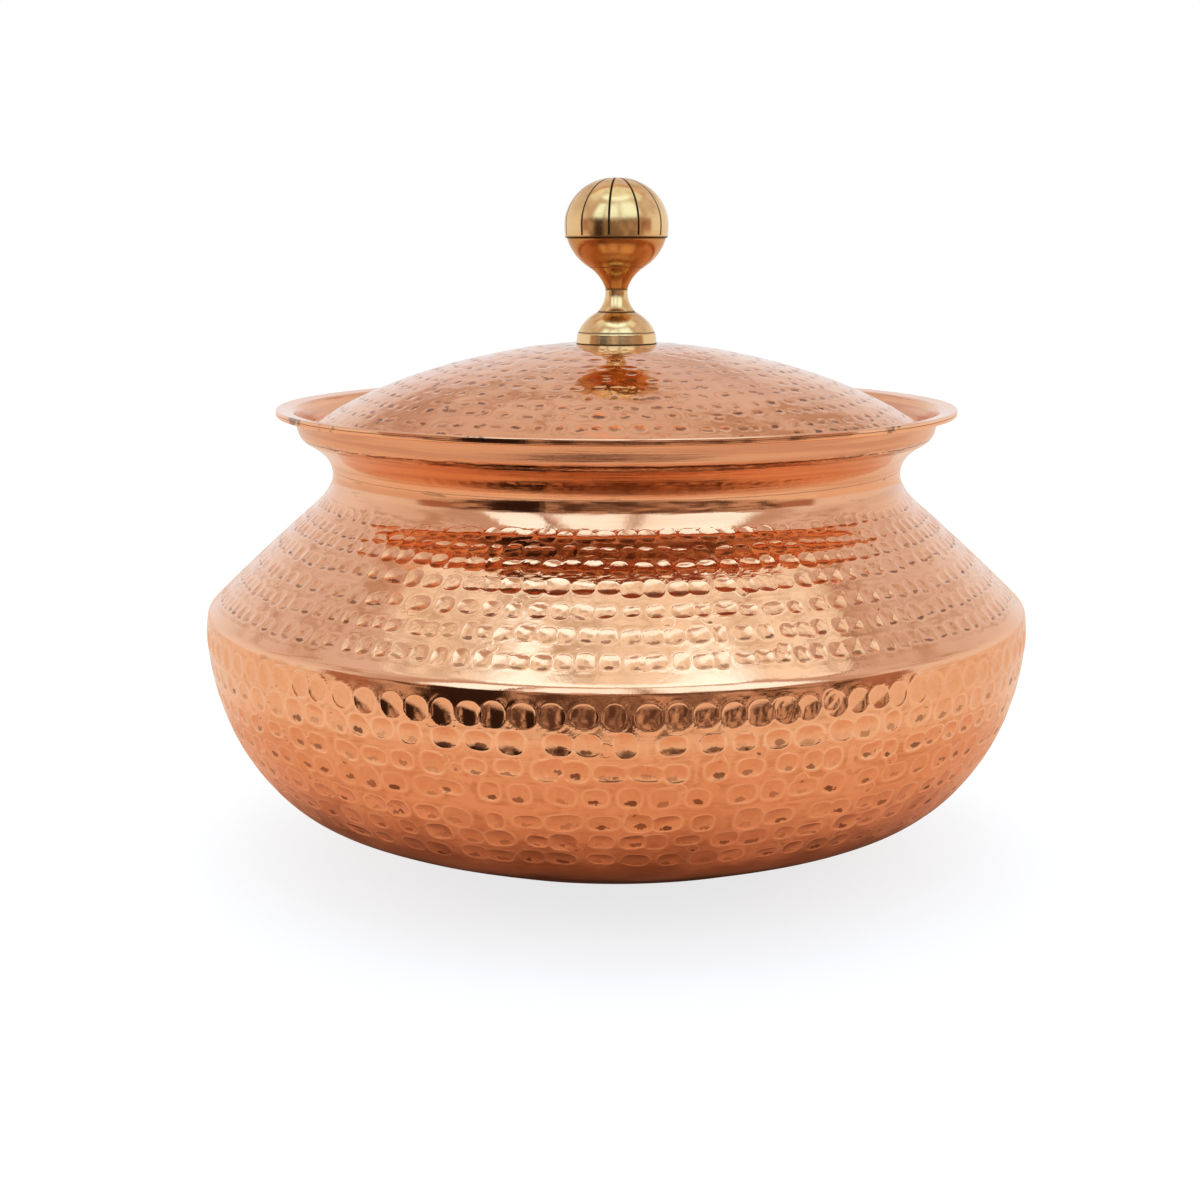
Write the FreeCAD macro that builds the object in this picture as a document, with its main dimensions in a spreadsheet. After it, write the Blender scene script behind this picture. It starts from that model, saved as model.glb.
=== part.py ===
import FreeCAD, Part
import Sketcher
import math
import os

# Lidded handi pot: a raised sheet-metal vessel with a pear-shaped body, a cupped
# collar and a hemmed flange rim, a domed lid that drops into the collar, and a
# turned knob in four pieces clamped through the lid by a stud, washer and nut.
# Frame: +Z up along the axis of revolution, origin at the centre of the flat
# base on the floor. Millimetres.

doc = FreeCAD.newDocument("handi_pot")

# ---------------------------------------------------------------- dimensions
SHEET = [
    # vessel, outside surface, from the base edge up to the rim
    ("pot_sheet", 3.0), ("pot_base_rad", 112.07),
    ("pot_bend_rad", 190.00), ("pot_bend_high", 11.65), ("pot_bend_fillet", 266.55),
    ("pot_under_rad", 374.08), ("pot_under_high", 77.34), ("pot_under_sweep", 2122.99),
    ("pot_turn_rad", 402.4), ("pot_turn_high", 93.93), ("pot_turn_fillet", 116.61),
    ("pot_low_rad", 426.6), ("pot_low_high", 118.32), ("pot_low_sweep", 164.30),
    ("pot_side_rad", 463.5), ("pot_side_high", 179.92), ("pot_side_sweep", 240.51),
    ("pot_belly_rad", 483.8), ("pot_belly_high", 261.25), ("pot_belly_sweep", 307.28),
    ("pot_max_rad", 485.0), ("pot_max_high", 279.54), ("pot_max_sweep", 157.12),
    ("pot_brow_rad", 483.7), ("pot_brow_high", 303.63), ("pot_brow_sweep", 216.26),
    ("pot_ridge_rad", 479.9), ("pot_ridge_high", 311.36), ("pot_ridge_fillet", 12.79),
    ("pot_shoulder_rad", 357.3), ("pot_shoulder_high", 423.89), ("pot_shoulder_sweep", 2505.51),
    ("pot_nape_rad", 337.9), ("pot_nape_high", 449.30), ("pot_nape_sweep", 76.25),
    ("pot_neck_rad", 335.9), ("pot_neck_high", 469.63), ("pot_neck_sweep", 30.00),
    ("pot_throat_rad", 347.2), ("pot_throat_high", 488.95), ("pot_throat_sweep", 39.91),
    ("pot_cup_rad", 364.4), ("pot_cup_high", 501.14), ("pot_cup_sweep", 92.68),
    ("pot_collar_rad", 373.7), ("pot_collar_high", 513.34), ("pot_collar_fillet", 19.70),
    ("pot_bead_rad", 377.2), ("pot_bead_high", 526.05), ("pot_bead_sweep", 139.22),
    ("pot_cove_rad", 379.0), ("pot_cove_high", 531.03),
    ("pot_flange_rad", 382.8), ("pot_flange_high", 534.08), ("pot_flange_fillet", 4.68),
    # rim hem: outer radius, top height, depth and width of the turned-under edge
    ("rim_rad", 398.0), ("rim_high", 538.75), ("rim_hem", 8.0),
    ("rim_hem_width", 7.0), ("rim_round", 1.8),
    # lid, outside surface
    ("lid_sheet", 2.5), ("lid_hole_rad", 8.4), ("lid_crown_rad", 50.0), ("lid_crown_high", 609.71),
    ("lid_upper_rad", 150.0), ("lid_upper_high", 596.29), ("lid_upper_sweep", 564.11),
    ("lid_middle_rad", 250.0), ("lid_middle_high", 569.15), ("lid_middle_sweep", 751.18),
    ("lid_lower_rad", 355.4), ("lid_lower_high", 520.97), ("lid_lower_sweep", 730.57),
    ("lid_edge_rad", 358.5), ("lid_edge_high", 515.72), ("lid_edge_fillet", 5.98),
    ("lid_skirt_high", 501.17),
    # knob foot: flared band, step and low dome
    ("knob_hole_rad", 8.4),
    ("foot_base_rad", 47.6), ("foot_band_rad", 46.0), ("foot_band_high", 622.11),
    ("foot_step_rad", 44.9), ("foot_step_high", 623.53),
    ("foot_top_rad", 22.4), ("foot_top_high", 646.40), ("foot_dome_sweep", 46.38),
    # knob spool: thin flared edge below, waist above
    ("spool_edge_rad", 21.9), ("spool_edge_high", 647.62),
    ("spool_waist_rad", 13.2), ("spool_waist_high", 665.82), ("spool_flare_sweep", 33.89),
    ("spool_top_rad", 13.2), ("spool_top_high", 672.53), ("spool_top_sweep", 29.18),
    # knob bulb: lower half of the ball on its ogee neck
    ("bulb_neck_rad", 12.8), ("bulb_ring_rad", 32.6), ("bulb_ring_high", 698.04),
    ("bulb_neck_sweep", 46.48), ("bulb_seam_rad", 58.0), ("ball_seam_high", 731.49),
    ("bulb_belly_sweep", 59.08), ("bulb_lip_rad", 49.0), ("bulb_lip_high", 735.99),
    ("bulb_bore_rad", 46.0), ("bulb_floor_rad", 22.0), ("bulb_floor_high", 705.49),
    ("bulb_cavity_sweep", 48.0), ("ring_depth", 0.7), ("ring_width", 1.4),
    # knob cap: fluted upper half of the ball
    ("cap_seam_rad", 59.7), ("cap_wide_rad", 60.7), ("cap_wide_high", 747.14), ("cap_low_sweep", 93.55),
    ("cap_crown_rad", 55.96), ("cap_crown_high", 767.59), ("cap_side_sweep", 46.50),
    ("cap_top_high", 800.0), ("cap_top_sweep", 57.86), ("cap_flat_rad", 4.0),
    ("cap_recess_rad", 49.2),
    ("cap_recess_high", 736.29), ("cap_bore_rad", 47.0), ("cap_dome_high", 786.00),
    ("cap_dome_sweep", 43.45), ("flute_count", 11), ("flute_width", 2.2), ("flute_depth", 1.4),
    ("flute_start_rad", 8.0), ("flute_start_drop", 0.14), ("flute_end_high", 734.59),
    # stud, washer and nut under the lid
    ("stud_rad", 8.0), ("stud_foot_high", 586.71), ("stud_head_high", 699.09), ("stud_chamfer", 1.2),
    ("washer_rad", 22.0), ("washer_thick", 3.0),
    ("nut_flats", 24.0), ("nut_thick", 13.0), ("nut_chamfer", 1.6),
]

sheet = doc.addObject("Spreadsheet::Sheet", "Dimensions")
VALUE = {}
for row, (alias, number) in enumerate(SHEET, start=1):
    sheet.set("A%d" % row, alias)
    sheet.set("B%d" % row, str(number))
    sheet.setAlias("B%d" % row, alias)
    VALUE[alias] = float(number)
doc.recompute()


class Size:
    """A sum of sheet cells times plain factors, with its value and its expression."""

    def __init__(self, terms=None, plain=0.0):
        self.terms = dict(terms or {})
        self.plain = plain

    def __add__(self, other):
        other = other if isinstance(other, Size) else Size(None, float(other))
        terms = dict(self.terms)
        for key, factor in other.terms.items():
            terms[key] = terms.get(key, 0.0) + factor
        return Size(terms, self.plain + other.plain)

    def __mul__(self, factor):
        return Size({k: f * factor for k, f in self.terms.items()}, self.plain * factor)

    def __sub__(self, other):
        other = other if isinstance(other, Size) else Size(None, float(other))
        return self + other * -1.0

    def value(self):
        return self.plain + sum(VALUE[k] * f for k, f in self.terms.items())

    def text(self):
        parts = []
        for key, factor in self.terms.items():
            if abs(factor) < 1e-9:
                continue
            sign = "-" if factor < 0 else ("+" if parts else "")
            parts.append("%s Dimensions.%s * %.6f" % (sign, key, abs(factor)))
        if abs(self.plain) > 1e-9 or not parts:
            parts.append("%s %.6f" % ("-" if self.plain < 0 else "+", abs(self.plain)))
        return " ".join(parts).strip().lstrip("+").strip()

    def is_zero(self):
        return not self.terms and abs(self.plain) < 1e-9


def D(alias):
    assert alias in VALUE, alias
    return Size({alias: 1.0})


ZERO = Size()


# ------------------------------------------------------------ sketch helpers
def origin_plane(body, role):
    for feature in body.Origin.OriginFeatures:
        if feature.Role == role:
            return feature
    raise RuntimeError(role)


def arc_middle(a, b, radius, turn):
    """Middle point of the arc from a to b; turn +1 runs anticlockwise."""
    ax, ay, bx, by = a[0], a[1], b[0], b[1]
    half = math.hypot(bx - ax, by - ay) / 2.0
    sagitta = radius - math.sqrt(max(radius * radius - half * half, 0.0))
    nx, ny = (by - ay) / (2.0 * half), -(bx - ax) / (2.0 * half)
    return ((ax + bx) / 2.0 + nx * sagitta * turn, (ay + by) / 2.0 + ny * sagitta * turn)


def nearest_end(sketch, geo, point):
    best = None
    for pos in (1, 2):
        v = sketch.getPoint(geo, pos)
        d = math.hypot(v.x - point[0], v.y - point[1])
        if best is None or d < best[0]:
            best = (d, pos)
    return best[1]


def closed_profile(body, name, role, points, edges):
    """A closed loop. points are pairs of Size; edges[i] joins point i to the
    next one and is None for a line or (radius, turn) for an arc."""
    sketch = body.newObject("Sketcher::SketchObject", name)
    sketch.AttachmentSupport = [(origin_plane(body, role), "")]
    sketch.MapMode = "FlatFace"
    place = [(p[0].value(), p[1].value()) for p in points]
    count = len(points)
    ends = []
    for i in range(count):
        a, b = place[i], place[(i + 1) % count]
        va, vb = FreeCAD.Vector(a[0], a[1], 0), FreeCAD.Vector(b[0], b[1], 0)
        if edges[i] is None:
            geo = sketch.addGeometry(Part.LineSegment(va, vb), False)
            ends.append((geo, 1, 2))
        else:
            radius, turn = edges[i]
            m = arc_middle(a, b, radius.value(), turn)
            geo = sketch.addGeometry(Part.Arc(va, FreeCAD.Vector(m[0], m[1], 0), vb), False)
            pa = nearest_end(sketch, geo, a)
            ends.append((geo, pa, 3 - pa))
    for i in range(count):
        geo, pa, pb = ends[i]
        nxt, na, nb = ends[(i + 1) % count]
        sketch.addConstraint(Sketcher.Constraint("Coincident", geo, pb, nxt, na))
    for i in range(count):
        geo, pa, pb = ends[i]
        x, y = points[i]
        if x.is_zero() and y.is_zero():
            sketch.addConstraint(Sketcher.Constraint("Coincident", geo, pa, -1, 1))
            continue
        for axis, size, line in (("X", x, -2), ("Y", y, -1)):
            if size.is_zero():
                sketch.addConstraint(Sketcher.Constraint("PointOnObject", geo, pa, line))
                continue
            number = sketch.addConstraint(
                Sketcher.Constraint("Distance" + axis, -1, 1, geo, pa, size.value()))
            label = "%s%s" % ("across" if axis == "X" else "up", i)
            sketch.renameConstraint(number, label)
            sketch.setExpression("Constraints." + label, size.text())
    for i in range(count):
        if edges[i] is None:
            continue
        number = sketch.addConstraint(
            Sketcher.Constraint("Radius", ends[i][0], edges[i][0].value()))
        label = "round%d" % i
        sketch.renameConstraint(number, label)
        sketch.setExpression("Constraints." + label, edges[i][0].text())
    sketch.Visibility = False
    return sketch


def circle_in(sketch, radius, label):
    geo = sketch.addGeometry(
        Part.Circle(FreeCAD.Vector(0, 0, 0), FreeCAD.Vector(0, 0, 1), radius.value()), False)
    sketch.addConstraint(Sketcher.Constraint("Coincident", geo, 3, -1, 1))
    number = sketch.addConstraint(Sketcher.Constraint("Radius", geo, radius.value()))
    sketch.renameConstraint(number, label)
    sketch.setExpression("Constraints." + label, radius.text())
    return geo


def spin(body, sketch, name):
    turned = body.newObject("PartDesign::Revolution", name)
    turned.Profile = sketch
    turned.ReferenceAxis = (sketch, ["V_Axis"])
    turned.Angle = 360.0
    return turned


def new_body(label):
    body = doc.addObject("PartDesign::Body", label)
    body.Label = label
    body.Placement = FreeCAD.Placement()
    return body


def directions(points, edges):
    """Direction of travel at each point of an open chain, in radians."""
    place = [(p[0].value(), p[1].value()) for p in points]
    at_start, at_end = [], []
    for i in range(len(points) - 1):
        a, b = place[i], place[i + 1]
        chord = math.atan2(b[1] - a[1], b[0] - a[0])
        if edges[i] is None:
            at_start.append(chord)
            at_end.append(chord)
        else:
            radius, turn = edges[i]
            half = math.asin(min(1.0, math.hypot(b[0] - a[0], b[1] - a[1]) / 2.0 / radius.value()))
            at_start.append(chord - half * turn)
            at_end.append(chord + half * turn)
    result = [at_start[0]]
    for i in range(1, len(points) - 1):
        a, b = at_end[i - 1], at_start[i]
        result.append(math.atan2(math.sin(a) + math.sin(b), math.cos(a) + math.cos(b)))
    result.append(at_end[-1])
    return result


def inward(points, edges, gauge, side):
    """The same chain moved by the sheet gauge; side +1 is left of travel."""
    moved = []
    for (x, y), angle in zip(points, directions(points, edges)):
        nx = round(-math.sin(angle) * side, 6)
        ny = round(math.cos(angle) * side, 6)
        moved.append((x + gauge * nx, y + gauge * ny))
    bent = []
    for edge in edges:
        if edge is None:
            bent.append(None)
        else:
            radius, turn = edge
            bent.append((radius - gauge * (turn * side), turn))
    return moved, bent


def reverse(points, edges):
    flipped = [None if e is None else (e[0], -e[1]) for e in edges]
    return points[::-1], flipped[::-1]


# ------------------------------------------------------------------- vessel
# One raised sheet: flat base, rounded underside, bellied wall up to the ridge,
# straight shoulder, waisted neck, cupped collar and a flange whose edge is
# turned under into a hem.
pot = new_body("pot_body")
outer_points = [
    (D("pot_base_rad"), ZERO),
    (D("pot_bend_rad"), D("pot_bend_high")),
    (D("pot_under_rad"), D("pot_under_high")),
    (D("pot_turn_rad"), D("pot_turn_high")),
    (D("pot_low_rad"), D("pot_low_high")),
    (D("pot_side_rad"), D("pot_side_high")),
    (D("pot_belly_rad"), D("pot_belly_high")),
    (D("pot_max_rad"), D("pot_max_high")),
    (D("pot_brow_rad"), D("pot_brow_high")),
    (D("pot_ridge_rad"), D("pot_ridge_high")),
    (D("pot_shoulder_rad"), D("pot_shoulder_high")),
    (D("pot_nape_rad"), D("pot_nape_high")),
    (D("pot_neck_rad"), D("pot_neck_high")),
    (D("pot_throat_rad"), D("pot_throat_high")),
    (D("pot_cup_rad"), D("pot_cup_high")),
    (D("pot_collar_rad"), D("pot_collar_high")),
    (D("pot_bead_rad"), D("pot_bead_high")),
    (D("pot_cove_rad"), D("pot_cove_high")),
    (D("pot_flange_rad"), D("pot_flange_high")),
]
outer_edges = [
    (D("pot_bend_fillet"), 1),
    (D("pot_under_sweep"), 1),
    (D("pot_turn_fillet"), 1),
    (D("pot_low_sweep"), 1),
    (D("pot_side_sweep"), 1),
    (D("pot_belly_sweep"), 1),
    (D("pot_max_sweep"), 1),
    (D("pot_brow_sweep"), 1),
    (D("pot_ridge_fillet"), 1),
    (D("pot_shoulder_sweep"), 1),
    (D("pot_nape_sweep"), -1),
    (D("pot_neck_sweep"), -1),
    (D("pot_throat_sweep"), -1),
    (D("pot_cup_sweep"), -1),
    (D("pot_collar_fillet"), 1),
    (D("pot_bead_sweep"), -1),
    None,
    (D("pot_flange_fillet"), -1),
]
inner_points, inner_edges = inward(outer_points, outer_edges, D("pot_sheet"), 1)
back_points, back_edges = reverse(inner_points, inner_edges)
hem_in = D("rim_rad") - D("rim_hem_width")
hem_low = D("rim_high") - D("rim_hem")
rim_points = [
    (hem_in, D("pot_flange_high") + 0.5),
    (hem_in + 0.2, hem_low + D("rim_round")),
    (hem_in + D("rim_round") + 0.2, hem_low),
    (D("rim_rad") - D("rim_round"), hem_low),
    (D("rim_rad"), hem_low + D("rim_round")),
    (D("rim_rad"), D("rim_high") - D("rim_round")),
    (D("rim_rad") - D("rim_round"), D("rim_high")),
]
rim_edges = [
    None,
    (D("rim_round"), 1),
    None,
    (D("rim_round"), 1),
    None,
    (D("rim_round"), 1),
]
points = [(ZERO, ZERO)] + outer_points + rim_points + back_points + [(ZERO, D("pot_sheet"))]
edges = [None] + outer_edges + [None] + rim_edges + [None] + back_edges + [None, None]
pot_sketch = closed_profile(pot, "pot_profile", "XZ_Plane", points, edges)
spin(pot, pot_sketch, "pot_raised")

# ---------------------------------------------------------------------- lid
# Domed sheet with a flat crown for the knob, a central hole and a turned-down
# skirt that stands on the shoulder inside the collar.
lid = new_body("lid")
lid_points = [
    (D("lid_hole_rad"), D("lid_crown_high")),
    (D("lid_crown_rad"), D("lid_crown_high")),
    (D("lid_upper_rad"), D("lid_upper_high")),
    (D("lid_middle_rad"), D("lid_middle_high")),
    (D("lid_lower_rad"), D("lid_lower_high")),
    (D("lid_edge_rad"), D("lid_edge_high")),
    (D("lid_edge_rad"), D("lid_skirt_high")),
]
lid_edges = [
    None,
    (D("lid_upper_sweep"), -1),
    (D("lid_middle_sweep"), -1),
    (D("lid_lower_sweep"), -1),
    (D("lid_edge_fillet"), -1),
    None,
]
under_points, under_edges = inward(lid_points, lid_edges, D("lid_sheet"), -1)
# the underside ends square at the hole and at the skirt's lower edge
under_points[0] = (D("lid_hole_rad"), D("lid_crown_high") - D("lid_sheet"))
under_points[-1] = (D("lid_edge_rad") - D("lid_sheet"), D("lid_skirt_high"))
under_points, under_edges = reverse(under_points, under_edges)
lid_sketch = closed_profile(lid, "lid_profile", "XZ_Plane",
                            lid_points + under_points,
                            lid_edges + [None] + under_edges + [None])
spin(lid, lid_sketch, "lid_raised")

# ---------------------------------------------------------------- knob foot
# Low turned dome on a flared band, with a clearance hole for the stud.
foot = new_body("knob_foot")
seat_high = D("lid_crown_high")
foot_sketch = closed_profile(
    foot, "foot_profile", "XZ_Plane",
    [(D("knob_hole_rad"), seat_high),
     (D("foot_base_rad"), seat_high),
     (D("foot_band_rad"), D("foot_band_high")),
     (D("foot_step_rad"), D("foot_step_high")),
     (D("foot_top_rad"), D("foot_top_high")),
     (D("knob_hole_rad"), D("foot_top_high"))],
    [None, None, None, (D("foot_dome_sweep"), 1), None, None])
spin(foot, foot_sketch, "foot_turned")

# --------------------------------------------------------------- knob spool
# Waisted stem that stands on the foot on a thin flared edge.
spool = new_body("knob_spool")
spool_sketch = closed_profile(
    spool, "spool_profile", "XZ_Plane",
    [(D("knob_hole_rad"), D("foot_top_high")),
     (D("spool_edge_rad"), D("foot_top_high")),
     (D("spool_edge_rad"), D("spool_edge_high")),
     (D("spool_waist_rad"), D("spool_waist_high")),
     (D("spool_top_rad"), D("spool_top_high")),
     (D("knob_hole_rad"), D("spool_top_high"))],
    [None, None, (D("spool_flare_sweep"), -1), (D("spool_top_sweep"), -1), None, None])
spin(spool, spool_sketch, "spool_turned")

# ---------------------------------------------------------------- knob bulb
# Cast lower half of the ball on an ogee neck, threaded for the stud, with a
# raised lip that locates the cap and one fine turned ring.
bulb = new_body("knob_bulb")
bulb_sketch = closed_profile(
    bulb, "bulb_profile", "XZ_Plane",
    [(D("stud_rad"), D("spool_top_high")),
     (D("bulb_neck_rad"), D("spool_top_high")),
     (D("bulb_ring_rad"), D("bulb_ring_high")),
     (D("bulb_seam_rad"), D("ball_seam_high")),
     (D("bulb_lip_rad"), D("ball_seam_high")),
     (D("bulb_lip_rad"), D("bulb_lip_high")),
     (D("bulb_bore_rad"), D("bulb_lip_high")),
     (D("bulb_bore_rad"), D("ball_seam_high")),
     (D("bulb_floor_rad"), D("bulb_floor_high")),
     (D("stud_rad"), D("bulb_floor_high"))],
    [None, (D("bulb_neck_sweep"), -1), (D("bulb_belly_sweep"), 1), None, None, None, None,
     (D("bulb_cavity_sweep"), -1), None, None])
spin(bulb, bulb_sketch, "bulb_turned")
doc.recompute()
ring_sketch = closed_profile(
    bulb, "ring_profile", "XZ_Plane",
    [(D("bulb_ring_rad") - D("ring_depth"), D("bulb_ring_high")),
     (D("bulb_ring_rad") + 1.5, D("bulb_ring_high") - D("ring_width") * 0.5 - 0.9),
     (D("bulb_ring_rad") + 1.5, D("bulb_ring_high") + D("ring_width") * 0.5 + 0.4)],
    [None, None, None])
ring = bulb.newObject("PartDesign::Groove", "turned_ring")
ring.Profile = ring_sketch
ring.ReferenceAxis = (ring_sketch, ["V_Axis"])
ring.Angle = 360.0

# ----------------------------------------------------------------- knob cap
# Cast upper half of the ball, hollow, with meridian flutes cut from near the
# pole to just above the seam.
cap = new_body("knob_cap")
cap_sketch = closed_profile(
    cap, "cap_profile", "XZ_Plane",
    [(D("cap_seam_rad"), D("ball_seam_high")),
     (D("cap_wide_rad"), D("cap_wide_high")),
     (D("cap_crown_rad"), D("cap_crown_high")),
     (D("cap_flat_rad"), D("cap_top_high")),
     (ZERO, D("cap_top_high")),
     (ZERO, D("cap_dome_high")),
     (D("cap_flat_rad"), D("cap_dome_high")),
     (D("cap_bore_rad"), D("cap_recess_high")),
     (D("cap_recess_rad"), D("cap_recess_high")),
     (D("cap_recess_rad"), D("ball_seam_high"))],
    [(D("cap_low_sweep"), 1), (D("cap_side_sweep"), 1), (D("cap_top_sweep"), 1), None, None, None,
     (D("cap_dome_sweep"), -1), None, None, None])
spin(cap, cap_sketch, "cap_turned")
doc.recompute()
plain_cap_volume = cap.Shape.Volume

# The flute's section follows the ball at the flute depth; its outer side runs
# clear of the surface.
chain_points = [
    (D("cap_wide_rad") - 0.45, D("flute_end_high")),
    (D("cap_wide_rad"), D("cap_wide_high")),
    (D("cap_crown_rad"), D("cap_crown_high")),
    (D("flute_start_rad"), D("cap_top_high") - D("flute_start_drop")),
]
chain_edges = [(D("cap_low_sweep"), 1), (D("cap_side_sweep"), 1), (D("cap_top_sweep"), 1)]
deep_points, deep_edges = inward(chain_points, chain_edges, D("flute_depth"), 1)
wide_points, wide_edges = inward(chain_points, chain_edges, Size(None, 3.0), -1)
wide_points, wide_edges = reverse(wide_points, wide_edges)
flute_sketch = closed_profile(cap, "flute_profile", "XZ_Plane",
                              deep_points + wide_points,
                              deep_edges + [None] + wide_edges + [None])
flute = cap.newObject("PartDesign::Pocket", "flute")
flute.Profile = flute_sketch
flute.Midplane = True
flute.Length = VALUE["flute_width"]
flute.setExpression("Length", "Dimensions.flute_width")
doc.recompute()
pattern = cap.newObject("PartDesign::PolarPattern", "flutes")
pattern.Originals = [flute]
pattern.Axis = (origin_plane(cap, "Z_Axis"), [""])
pattern.Angle = 360.0
pattern.Occurrences = int(VALUE["flute_count"])
pattern.setExpression("Occurrences", "Dimensions.flute_count")
cap.Tip = pattern

# --------------------------------------------------------------------- stud
stud = new_body("knob_stud")
stud_sketch = closed_profile(
    stud, "stud_profile", "XZ_Plane",
    [(ZERO, D("stud_foot_high")),
     (D("stud_rad") - D("stud_chamfer"), D("stud_foot_high")),
     (D("stud_rad"), D("stud_foot_high") + D("stud_chamfer")),
     (D("stud_rad"), D("stud_head_high") - D("stud_chamfer")),
     (D("stud_rad") - D("stud_chamfer"), D("stud_head_high")),
     (ZERO, D("stud_head_high"))],
    [None, None, None, None, None, None])
spin(stud, stud_sketch, "stud_turned")

# ------------------------------------------------------------------- washer
washer = new_body("clamp_washer")
washer_top = D("lid_crown_high") - D("lid_sheet")
washer_low = washer_top - D("washer_thick")
washer_sketch = closed_profile(
    washer, "washer_profile", "XZ_Plane",
    [(D("knob_hole_rad"), washer_low),
     (D("washer_rad"), washer_low),
     (D("washer_rad"), washer_top),
     (D("knob_hole_rad"), washer_top)],
    [None, None, None, None])
spin(washer, washer_sketch, "washer_stamped")

# ---------------------------------------------------------------------- nut
# Hexagon padded down from the washer, bored to the thread's size, with its
# lower corners chamfered.
nut = new_body("clamp_nut")
hexagon = nut.newObject("Sketcher::SketchObject", "nut_hexagon")
hexagon.AttachmentSupport = [(origin_plane(nut, "XY_Plane"), "")]
hexagon.MapMode = "FlatFace"
hexagon.AttachmentOffset = FreeCAD.Placement(
    FreeCAD.Vector(0, 0, washer_low.value()), FreeCAD.Rotation())
hexagon.setExpression("AttachmentOffset.Base.z", washer_low.text())
corner = VALUE["nut_flats"] / math.sqrt(3.0)
corners = [FreeCAD.Vector(corner * math.cos(math.radians(60 * k)),
                          corner * math.sin(math.radians(60 * k)), 0) for k in range(6)]
for k in range(6):
    hexagon.addGeometry(Part.LineSegment(corners[k], corners[(k + 1) % 6]), False)
guide = hexagon.addGeometry(
    Part.Circle(FreeCAD.Vector(0, 0, 0), FreeCAD.Vector(0, 0, 1), corner), True)
for k in range(6):
    hexagon.addConstraint(Sketcher.Constraint("Coincident", k, 2, (k + 1) % 6, 1))
hexagon.addConstraint(Sketcher.Constraint("Coincident", guide, 3, -1, 1))
for k in range(6):
    hexagon.addConstraint(Sketcher.Constraint("PointOnObject", k, 1, guide))
for k in range(1, 6):
    hexagon.addConstraint(Sketcher.Constraint("Equal", 0, k))
hexagon.addConstraint(Sketcher.Constraint("PointOnObject", 0, 1, -1))
number = hexagon.addConstraint(Sketcher.Constraint("Radius", guide, corner))
hexagon.renameConstraint(number, "corner_rad")
hexagon.setExpression("Constraints.corner_rad", "Dimensions.nut_flats * 0.577350")
circle_in(hexagon, D("stud_rad"), "thread_rad")
hexagon.Visibility = False
nut_pad = nut.newObject("PartDesign::Pad", "nut_block")
nut_pad.Profile = hexagon
nut_pad.Reversed = True
nut_pad.Length = VALUE["nut_thick"]
nut_pad.setExpression("Length", "Dimensions.nut_thick")
doc.recompute()
plain_nut_volume = nut.Shape.Volume
nut_low = washer_low - D("nut_thick")
corner_size = D("nut_flats") * 0.57735
bevel_sketch = closed_profile(
    nut, "nut_bevel_profile", "XZ_Plane",
    [(corner_size + 1.0, nut_low - 0.5),
     (corner_size + 1.0, nut_low + D("nut_chamfer")),
     (D("nut_flats") * 0.5 - 0.6, nut_low - 0.5)],
    [None, None, None])
bevel = nut.newObject("PartDesign::Groove", "nut_bevel")
bevel.Profile = bevel_sketch
bevel.ReferenceAxis = (bevel_sketch, ["V_Axis"])
bevel.Angle = 360.0

doc.recompute()

# ------------------------------------------------------------------- checks
for thing in doc.Objects:
    bad = [word for word in thing.State if word in ("Invalid", "Error")]
    if bad:
        raise RuntimeError("%s is %s" % (thing.Name, bad))
assert cap.Shape.Volume < plain_cap_volume - 500.0, "flutes cut nothing"
assert nut.Shape.Volume < plain_nut_volume - 5.0, "bevel cut nothing"

BODIES = [pot, lid, foot, spool, bulb, cap, stud, washer, nut]
for body in BODIES:
    shape = body.Shape
    if shape.isNull() or not shape.isValid() or not shape.Solids:
        raise RuntimeError(body.Label + " has no sound solid")

os.makedirs("parts", exist_ok=True)
for body in BODIES:
    shape = body.Shape
    shape.exportStep("parts/%s.step" % body.Label)
    box = shape.optimalBoundingBox(False)
    print("%-14s solids %d volume %.0f  x %.2f..%.2f  z %.2f..%.2f" % (
        body.Label, len(shape.Solids), shape.Volume, box.XMin, box.XMax, box.ZMin, box.ZMax))
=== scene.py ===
"""Looks of a large hammered copper handi pot with a domed lid and a brass ball knob.

Metres, Z up, the pot stands on the floor at z = 0. The sheet surfaces are
turned profiles with the hammer marks pressed in as real relief.
"""
import math

import bpy
import numpy as np
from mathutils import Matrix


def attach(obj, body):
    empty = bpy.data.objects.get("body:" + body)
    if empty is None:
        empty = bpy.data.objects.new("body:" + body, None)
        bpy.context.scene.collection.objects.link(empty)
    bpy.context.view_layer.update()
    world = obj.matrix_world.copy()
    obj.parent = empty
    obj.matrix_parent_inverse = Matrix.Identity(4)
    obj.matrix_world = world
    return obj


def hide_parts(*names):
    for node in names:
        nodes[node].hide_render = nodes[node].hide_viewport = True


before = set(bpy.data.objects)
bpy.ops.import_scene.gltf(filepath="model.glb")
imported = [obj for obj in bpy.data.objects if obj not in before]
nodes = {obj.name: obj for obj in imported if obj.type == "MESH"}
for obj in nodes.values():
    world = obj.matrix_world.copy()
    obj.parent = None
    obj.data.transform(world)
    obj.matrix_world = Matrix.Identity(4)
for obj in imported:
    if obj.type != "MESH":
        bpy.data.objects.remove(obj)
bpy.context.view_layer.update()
TAU = 2.0 * math.pi
MM = 0.001


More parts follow.
